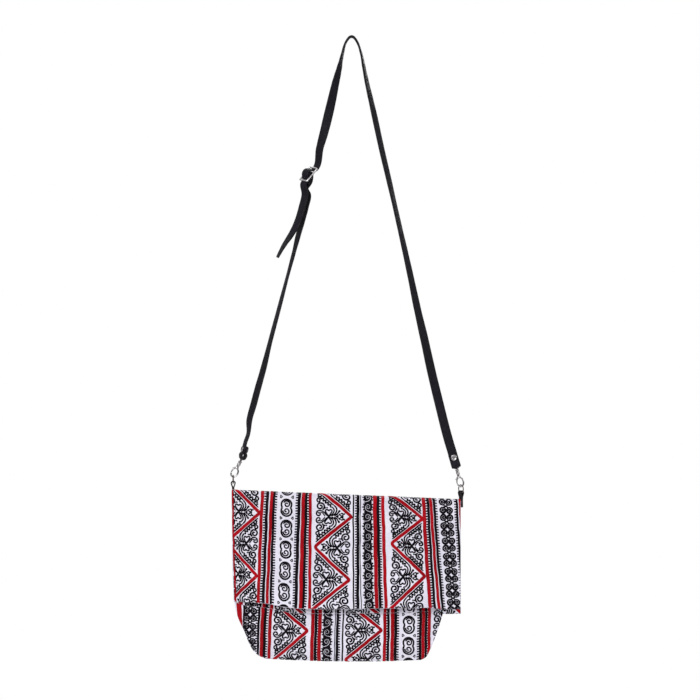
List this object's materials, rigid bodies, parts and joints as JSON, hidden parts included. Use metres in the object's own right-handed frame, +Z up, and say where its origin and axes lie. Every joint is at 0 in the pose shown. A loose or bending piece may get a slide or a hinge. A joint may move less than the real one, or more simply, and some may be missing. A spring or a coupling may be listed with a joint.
{
  "type": "hmong embroidered foldover shoulder bag",
  "caption": "Foldover shoulder bag of printed and stitched cotton on a narrow adjustable leather strap with swivel hooks, shown hanging.",
  "frame": {"origin": "underside of the strap's crown, where it hangs on a peg or a shoulder", "axes": "+Z up, the front of the bag faces -Y, +X to the right as seen from the front"},
  "size_m": [0.3043, 0.0407, 0.8108],
  "materials": {
    "printed_cloth": "printed white cotton with black line work and raised red stitched bands",
    "black_leather": "black grained leather, half matt",
    "nickel": "bright nickel plate",
    "dark_wire": "dark nickel plate, worn"
  },
  "bodies": {
    "root": {"front_panel": "printed_cloth", "back_panel": "printed_cloth", "left_tab_loop": "black_leather", "right_tab_loop": "black_leather", "left_ring": "dark_wire", "right_ring": "dark_wire", "left_swivel_eye": "nickel", "right_swivel_eye": "nickel", "left_rivet": "nickel", "right_rivet": "nickel", "strap_main": "black_leather", "strap_lower": "black_leather", "strap_slider": "nickel"},
    "left_hook_body": {"left_hook": "nickel"},
    "left_lever_body": {"left_lever": "nickel"},
    "right_hook_body": {"right_hook": "nickel"},
    "right_lever_body": {"right_lever": "nickel"}
  },
  "joints": [
    {"name": "left_swivel", "type": "hinge", "parent": "root", "child": "left_hook_body", "pos_m": [-0.1416, 0.00075, -0.54506], "axis": [0.4618, 0, 0.887], "range_deg": [-35, 35]},
    {"name": "left_lever_pivot", "type": "hinge", "parent": "left_hook_body", "child": "left_lever_body", "pos_m": [-0.15155, 0.00075, -0.55877], "axis": [0, -1, 0], "range_deg": [0, 20], "stiffness_Nm_per_rad": 0.01},
    {"name": "right_swivel", "type": "hinge", "parent": "root", "child": "right_hook_body", "pos_m": [0.13548, 0.00075, -0.55551], "axis": [-0.2504, 0, 0.9681], "range_deg": [-8, 60]},
    {"name": "right_lever_pivot", "type": "hinge", "parent": "right_hook_body", "child": "right_lever_body", "pos_m": [0.13726, 0.00075, -0.57235], "axis": [0, -1, 0], "range_deg": [0, 20], "stiffness_Nm_per_rad": 0.01}
  ]
}
